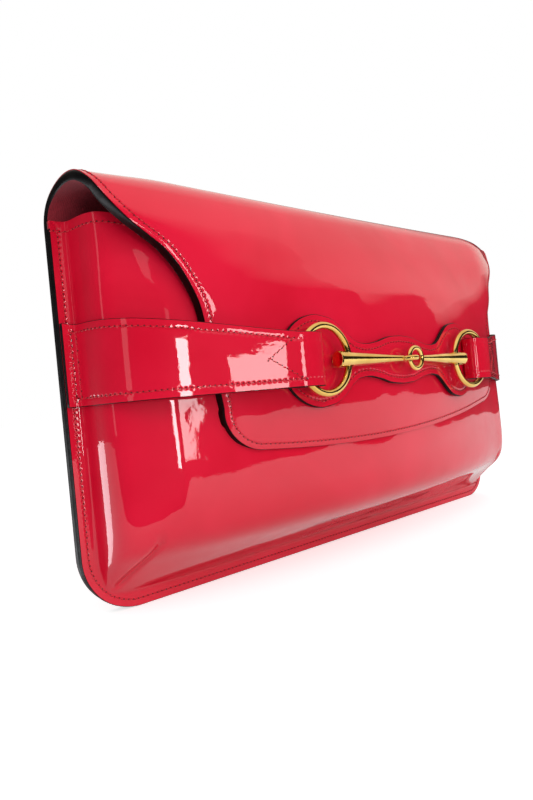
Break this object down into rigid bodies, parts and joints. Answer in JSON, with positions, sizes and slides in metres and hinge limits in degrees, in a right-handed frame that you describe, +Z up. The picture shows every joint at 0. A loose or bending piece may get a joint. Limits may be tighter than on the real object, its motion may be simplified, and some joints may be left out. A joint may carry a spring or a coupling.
{
  "type": "fold-over clutch purse",
  "caption": "Red patent leather clutch: a puffed front, a flap that folds over the top and tucks behind a band with a gold snaffle bit.",
  "frame": {"origin": "middle of the bottom edge, on the plane where the front is sewn to the back", "axes": "+Z up towards the fold, +Y to the back, +X to the right as the front is seen"},
  "size_m": [0.32, 0.0718, 0.187],
  "materials": {
    "patent": "high gloss patent",
    "lining": "matte",
    "board": "matte felt",
    "gold": "polished"
  },
  "bodies": {
    "case": {"back_panel": "patent", "back_stiffener": "board", "back_lining": "lining", "front_panel": "patent", "front_lining": "lining", "mouth_facing": "patent", "slip_pocket": "lining", "strap_left": "patent", "strap_left_lining": "lining", "strap_right": "patent", "strap_right_lining": "lining", "bit_backing": "patent", "bit_backing_lining": "lining"},
    "fold_rear": {"fold_rear_hide": "patent", "fold_rear_padding": "board", "fold_rear_lining": "lining"},
    "fold_crown": {"fold_crown_hide": "patent", "fold_crown_padding": "board", "fold_crown_lining": "lining"},
    "fold_front": {"fold_front_hide": "patent", "fold_front_padding": "board", "fold_front_lining": "lining"},
    "flap": {"flap_panel": "patent", "flap_stiffener": "board", "flap_lining": "lining", "flap_tongue": "patent", "tongue_padding": "board", "tongue_lining": "lining"},
    "ring_left": {"ring_left": "gold"},
    "ring_right": {"ring_right": "gold"},
    "bit_left": {"bit_left": "gold"},
    "bit_right": {"bit_right": "gold"}
  },
  "joints": [
    {"name": "flap_open", "type": "hinge", "parent": "case", "child": "fold_rear", "pos_m": [0, 0.0026, 0.17404], "axis": [-1, 0, 0], "range_deg": [0, 40]},
    {"name": "fold_second", "type": "hinge", "parent": "fold_rear", "child": "fold_crown", "pos_m": [0, -0.00876, 0.1854], "axis": [-1, 0, 0], "range_deg": [0, 40]},
    {"name": "fold_third", "type": "hinge", "parent": "fold_crown", "child": "fold_front", "pos_m": [0, -0.02484, 0.1854], "axis": [-1, 0, 0], "range_deg": [0, 40]},
    {"name": "fold_fourth", "type": "hinge", "parent": "fold_front", "child": "flap", "pos_m": [0, -0.0362, 0.17404], "axis": [-1, 0, 0], "range_deg": [0, 40], "deforming": ["flap_tongue", "tongue_padding", "tongue_lining"]},
    {"name": "ring_left_swing", "type": "hinge", "parent": "case", "child": "ring_left", "pos_m": [-0.0715, -0.0593, 0.10182], "axis": [0, 0, -1], "range_deg": [0, 8]},
    {"name": "bit_left_level", "type": "hinge", "parent": "ring_left", "child": "bit_left", "pos_m": [-0.0455, -0.0593, 0.10119], "axis": [0, 0, 1], "range_deg": [0, 8]},
    {"name": "ring_right_swing", "type": "hinge", "parent": "case", "child": "ring_right", "pos_m": [0.0715, -0.0593, 0.09838], "axis": [0, 0, 1], "range_deg": [0, 8]},
    {"name": "bit_right_level", "type": "hinge", "parent": "ring_right", "child": "bit_right", "pos_m": [0.0455, -0.0593, 0.09901], "axis": [0, 0, -1], "range_deg": [0, 8]}
  ],
  "couplings": [
    {"joint": "fold_second", "follows": "flap_open", "ratio": 1},
    {"joint": "fold_third", "follows": "flap_open", "ratio": 1},
    {"joint": "fold_fourth", "follows": "flap_open", "ratio": 1},
    {"joint": "bit_left_level", "follows": "ring_left_swing", "ratio": 1},
    {"joint": "ring_right_swing", "follows": "ring_left_swing", "ratio": 1},
    {"joint": "bit_right_level", "follows": "ring_left_swing", "ratio": 1}
  ]
}
